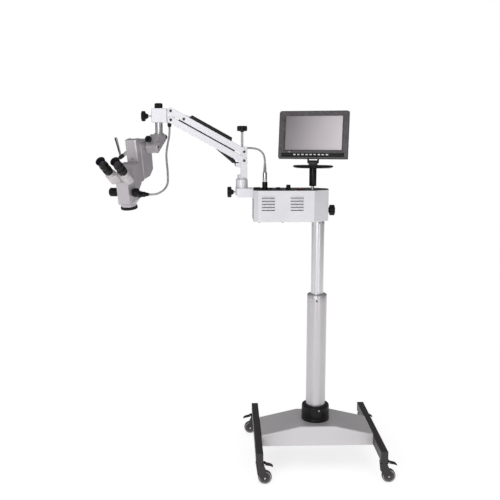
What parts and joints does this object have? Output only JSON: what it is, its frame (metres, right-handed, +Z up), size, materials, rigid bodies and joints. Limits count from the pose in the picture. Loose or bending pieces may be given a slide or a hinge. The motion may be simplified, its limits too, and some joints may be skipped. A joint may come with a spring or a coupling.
{
  "type": "surgical microscope",
  "caption": "Surgical microscope on a wheeled column stand with a spring arm, light console and monitor.",
  "frame": {"origin": "on the floor, under the middle of the overall box", "axes": "+Z up, the head at -X and the column at +X, the user's side at -Y"},
  "size_m": [1.2492, 0.6675, 1.6323],
  "materials": {
    "sheet_silver": "satin",
    "column_silver": "satin",
    "tube_silver": "gloss",
    "pale_paint": "satin",
    "pale_casting": "satin",
    "black_steel": "satin",
    "iron": "matte",
    "black_plastic": "satin",
    "black_fitting": "satin",
    "wheel_grey": "satin",
    "bright_steel": "polished",
    "lamp_works": "matte",
    "red_plastic": "gloss",
    "grey_plastic": "satin",
    "case_plastic": "matte",
    "screen_glass": "gloss",
    "key_silver": "satin",
    "guide_sheath": "satin"
  },
  "bodies": {
    "base": {"base_cover": "sheet_silver", "base_crossbeam": "iron", "base_legs": "black_steel", "column_collar": "black_plastic", "column_sleeve": "column_silver"},
    "column": {"column_tube": "tube_silver"},
    "console": {"console_shell": "pale_paint", "console_lid": "black_steel", "console_works": "lamp_works", "console_fittings": "black_fitting", "arm_bracket": "pale_casting", "monitor_pole": "black_steel"},
    "console_clamp_screw": {"console_clamp_knob": "black_plastic"},
    "post_clamp_screw": {"post_clamp_knob": "black_plastic"},
    "dimmer": {"dimmer_knob": "black_plastic"},
    "power_switch": {"power_rocker": "red_plastic"},
    "monitor_turn": {"monitor_stand": "black_plastic"},
    "monitor": {"monitor_case": "case_plastic", "monitor_bezel": "grey_plastic", "monitor_screen": "screen_glass"},
    "monitor_key_row": {"monitor_keys": "key_silver"},
    "post": {"arm_post": "pale_paint", "light_guide_rear": "guide_sheath"},
    "lift_screw": {"lift_knob": "black_plastic"},
    "upper_arm": {"upper_bar": "pale_casting", "upper_bar_pins": "bright_steel", "arm_top_cover": "black_plastic", "light_guide_arm": "guide_sheath"},
    "lower_arm": {"lower_bar": "pale_casting", "lower_bar_pins": "bright_steel"},
    "spring_piston": {"spring_rod": "bright_steel"},
    "gas_spring": {"spring_cylinder": "black_steel"},
    "arm_head": {"front_block": "pale_casting"},
    "shaft_nut": {"front_top_knob": "black_plastic"},
    "shaft_screw": {"front_side_knob": "black_plastic"},
    "yoke": {"head_yoke": "pale_casting", "light_guide_drop": "guide_sheath"},
    "tilt_screw": {"yoke_side_knob": "black_plastic"},
    "swivel_screw": {"yoke_rear_knob": "black_plastic"},
    "focus_drive": {"focus_housing": "pale_casting"},
    "scope": {"slide_plate": "pale_casting", "scope_body": "pale_casting", "objective": "black_fitting", "guide_connector": "black_fitting"},
    "zoom_drum": {"mag_knobs": "black_plastic"},
    "side_handle": {"position_lever": "black_fitting"},
    "eye_left": {"binocular_left": "black_fitting"},
    "eye_right": {"binocular_right": "black_fitting"},
    "castor_front_left": {"castor_fork_front_left": "black_steel"},
    "wheel_front_left": {"castor_wheel_front_left": "wheel_grey"},
    "brake_front_left": {"castor_pedal_front_left": "black_plastic"},
    "castor_front_right": {"castor_fork_front_right": "black_steel"},
    "wheel_front_right": {"castor_wheel_front_right": "wheel_grey"},
    "brake_front_right": {"castor_pedal_front_right": "black_plastic"},
    "castor_rear_left": {"castor_fork_rear_left": "black_steel"},
    "wheel_rear_left": {"castor_wheel_rear_left": "wheel_grey"},
    "brake_rear_left": {"castor_pedal_rear_left": "black_plastic"},
    "castor_rear_right": {"castor_fork_rear_right": "black_steel"},
    "wheel_rear_right": {"castor_wheel_rear_right": "wheel_grey"},
    "brake_rear_right": {"castor_pedal_rear_right": "black_plastic"}
  },
  "joints": [
    {"name": "castor_swivel_front_left", "type": "hinge", "parent": "base", "child": "castor_front_left", "pos_m": [0.02561, -0.23224, 0.103], "axis": [0, 0, 1], "continuous": true},
    {"name": "wheel_roll_front_left", "type": "hinge", "parent": "castor_front_left", "child": "wheel_front_left", "pos_m": [0.04961, -0.23224, 0.03], "axis": [0, 1, 0], "continuous": true},
    {"name": "brake_tip_front_left", "type": "hinge", "parent": "castor_front_left", "child": "brake_front_left", "pos_m": [0.04861, -0.23224, 0.091], "axis": [0, 1, 0], "range_deg": [0, 18]},
    {"name": "castor_swivel_front_right", "type": "hinge", "parent": "base", "child": "castor_front_right", "pos_m": [0.56561, -0.23224, 0.103], "axis": [0, 0, 1], "continuous": true},
    {"name": "wheel_roll_front_right", "type": "hinge", "parent": "castor_front_right", "child": "wheel_front_right", "pos_m": [0.58962, -0.23224, 0.03], "axis": [0, 1, 0], "continuous": true},
    {"name": "brake_tip_front_right", "type": "hinge", "parent": "castor_front_right", "child": "brake_front_right", "pos_m": [0.58861, -0.23224, 0.091], "axis": [0, 1, 0], "range_deg": [0, 18]},
    {"name": "castor_swivel_rear_left", "type": "hinge", "parent": "base", "child": "castor_rear_left", "pos_m": [0.02561, 0.30976, 0.103], "axis": [0, 0, 1], "continuous": true},
    {"name": "wheel_roll_rear_left", "type": "hinge", "parent": "castor_rear_left", "child": "wheel_rear_left", "pos_m": [0.00161, 0.30976, 0.03], "axis": [0, -1, 0], "continuous": true},
    {"name": "brake_tip_rear_left", "type": "hinge", "parent": "castor_rear_left", "child": "brake_rear_left", "pos_m": [0.00262, 0.30976, 0.091], "axis": [0, -1, 0], "range_deg": [0, 18]},
    {"name": "castor_swivel_rear_right", "type": "hinge", "parent": "base", "child": "castor_rear_right", "pos_m": [0.56561, 0.30976, 0.103], "axis": [0, 0, 1], "continuous": true},
    {"name": "wheel_roll_rear_right", "type": "hinge", "parent": "castor_rear_right", "child": "wheel_rear_right", "pos_m": [0.58962, 0.30976, 0.03], "axis": [0, 1, 0], "continuous": true},
    {"name": "brake_tip_rear_right", "type": "hinge", "parent": "castor_rear_right", "child": "brake_rear_right", "pos_m": [0.58861, 0.30976, 0.091], "axis": [0, 1, 0], "range_deg": [0, 18]},
    {"name": "column_lift", "type": "slide", "parent": "base", "child": "column", "axis": [0, 0, 1], "range_m": [-0.25, 0.1]},
    {"name": "console_swivel", "type": "hinge", "parent": "column", "child": "console", "pos_m": [0.29562, 0.01576, 1.122], "axis": [0, 0, 1], "range_deg": [-175, 175]},
    {"name": "console_clamp_turn", "type": "hinge", "parent": "console", "child": "console_clamp_screw", "pos_m": [0.33761, 0.01576, 1.167], "axis": [1, 0, 0], "range_deg": [0, 180]},
    {"name": "post_clamp_turn", "type": "hinge", "parent": "console", "child": "post_clamp_screw", "pos_m": [-0.07239, 0.01576, 1.248], "axis": [-1, 0, 0], "range_deg": [0, 180]},
    {"name": "dimmer_turn", "type": "hinge", "parent": "console", "child": "dimmer", "pos_m": [0.16162, 0.01576, 1.259], "axis": [0, 0, 1], "range_deg": [0, 270]},
    {"name": "power_press", "type": "hinge", "parent": "console", "child": "power_switch", "pos_m": [0.21261, -0.03624, 1.262], "axis": [0, 1, 0], "range_deg": [-6, 0]},
    {"name": "monitor_swivel", "type": "hinge", "parent": "console", "child": "monitor_turn", "pos_m": [0.26961, 0.01576, 1.353], "axis": [0, 0, 1], "range_deg": [-90, 90]},
    {"name": "monitor_tilt", "type": "hinge", "parent": "monitor_turn", "child": "monitor", "pos_m": [0.26961, 0.01576, 1.38], "axis": [0.9563, -0.2924, 0], "range_deg": [-15, 12]},
    {"name": "monitor_key_press", "type": "slide", "parent": "monitor", "child": "monitor_key_row", "axis": [0.2888, 0.9445, -0.1564], "range_m": [0, 0.0008], "stiffness_N_per_m": 400},
    {"name": "arm_swivel", "type": "hinge", "parent": "console", "child": "post", "pos_m": [-0.04439, 0.01576, 1.266], "axis": [0, 0, 1], "range_deg": [-100, 100]},
    {"name": "lift_knob_turn", "type": "hinge", "parent": "post", "child": "lift_screw", "pos_m": [-0.04238, 0.01576, 1.447], "axis": [0, 0, 1], "range_deg": [0, 180]},
    {"name": "arm_lift", "type": "hinge", "parent": "post", "child": "upper_arm", "pos_m": [-0.03388, 0.01576, 1.424], "axis": [0, 1, 0], "range_deg": [-42, 9]},
    {"name": "lower_bar_swing", "type": "hinge", "parent": "post", "child": "lower_arm", "pos_m": [-0.03388, 0.01576, 1.386], "axis": [0, 1, 0], "range_deg": [-44, 11]},
    {"name": "front_block_level", "type": "hinge", "parent": "upper_arm", "child": "arm_head", "pos_m": [-0.34993, 0.01576, 1.59847], "axis": [0, 1, 0], "range_deg": [-11, 44]},
    {"name": "spring_eye_turn", "type": "hinge", "parent": "upper_arm", "child": "spring_piston", "pos_m": [-0.2936, 0.01576, 1.56394], "axis": [0, 1, 0], "range_deg": [-2, 1.5]},
    {"name": "spring_stroke", "type": "slide", "parent": "spring_piston", "child": "gas_spring", "axis": [-0.7625, 0, 0.647], "range_m": [-0.0125, 0.0473]},
    {"name": "shaft_nut_turn", "type": "hinge", "parent": "arm_head", "child": "shaft_nut", "pos_m": [-0.40339, 0.01576, 1.61], "axis": [0, 0, 1], "range_deg": [0, 180]},
    {"name": "shaft_screw_turn", "type": "hinge", "parent": "arm_head", "child": "shaft_screw", "pos_m": [-0.43239, 0.01576, 1.577], "axis": [-1, 0, 0], "range_deg": [0, 180]},
    {"name": "head_swivel", "type": "hinge", "parent": "arm_head", "child": "yoke", "pos_m": [-0.40339, 0.01576, 1.55001], "axis": [0, 0, 1], "range_deg": [-110, 60]},
    {"name": "tilt_screw_turn", "type": "hinge", "parent": "yoke", "child": "tilt_screw", "pos_m": [-0.43576, -0.05982, 1.47601], "axis": [-0.3158, -0.9173, 0.2425], "range_deg": [0, 180]},
    {"name": "swivel_screw_turn", "type": "hinge", "parent": "yoke", "child": "swivel_screw", "pos_m": [-0.38641, 0.03741, 1.487], "axis": [0.3256, 0.9455, 0], "range_deg": [0, 180]},
    {"name": "head_tilt", "type": "hinge", "parent": "yoke", "child": "focus_drive", "pos_m": [-0.42455, -0.0457, 1.446], "axis": [0.9455, -0.3256, 0], "range_deg": [-35, 25]},
    {"name": "focus_slide", "type": "slide", "parent": "focus_drive", "child": "scope", "axis": [-0.0621, -0.1804, 0.9816], "range_m": [-0.02, 0.02]},
    {"name": "magnification_turn", "type": "hinge", "parent": "scope", "child": "zoom_drum", "pos_m": [-0.5289, -0.17675, 1.26251], "axis": [0.9455, -0.3256, 0], "continuous": true},
    {"name": "side_handle_turn", "type": "hinge", "parent": "scope", "child": "side_handle", "pos_m": [-0.53908, -0.09489, 1.41594], "axis": [-0.7695, 0.3717, -0.5194], "range_deg": [-45, 45]},
    {"name": "pupil_left", "type": "hinge", "parent": "scope", "child": "eye_left", "pos_m": [-0.53529, -0.15843, 1.2889], "axis": [-0.2699, -0.7839, 0.5592], "range_deg": [0, 30]},
    {"name": "pupil_right", "type": "hinge", "parent": "scope", "child": "eye_right", "pos_m": [-0.51259, -0.16625, 1.2889], "axis": [-0.2699, -0.7839, 0.5592], "range_deg": [-30, 0]}
  ],
  "couplings": [
    {"joint": "lower_bar_swing", "follows": "arm_lift", "ratio": 1},
    {"joint": "front_block_level", "follows": "arm_lift", "ratio": -1},
    {"joint": "spring_eye_turn", "follows": "arm_lift", "ratio": 0.019},
    {"joint": "spring_stroke", "follows": "arm_lift", "m_per_rad": -0.0605},
    {"joint": "pupil_right", "follows": "pupil_left", "ratio": -1}
  ]
}
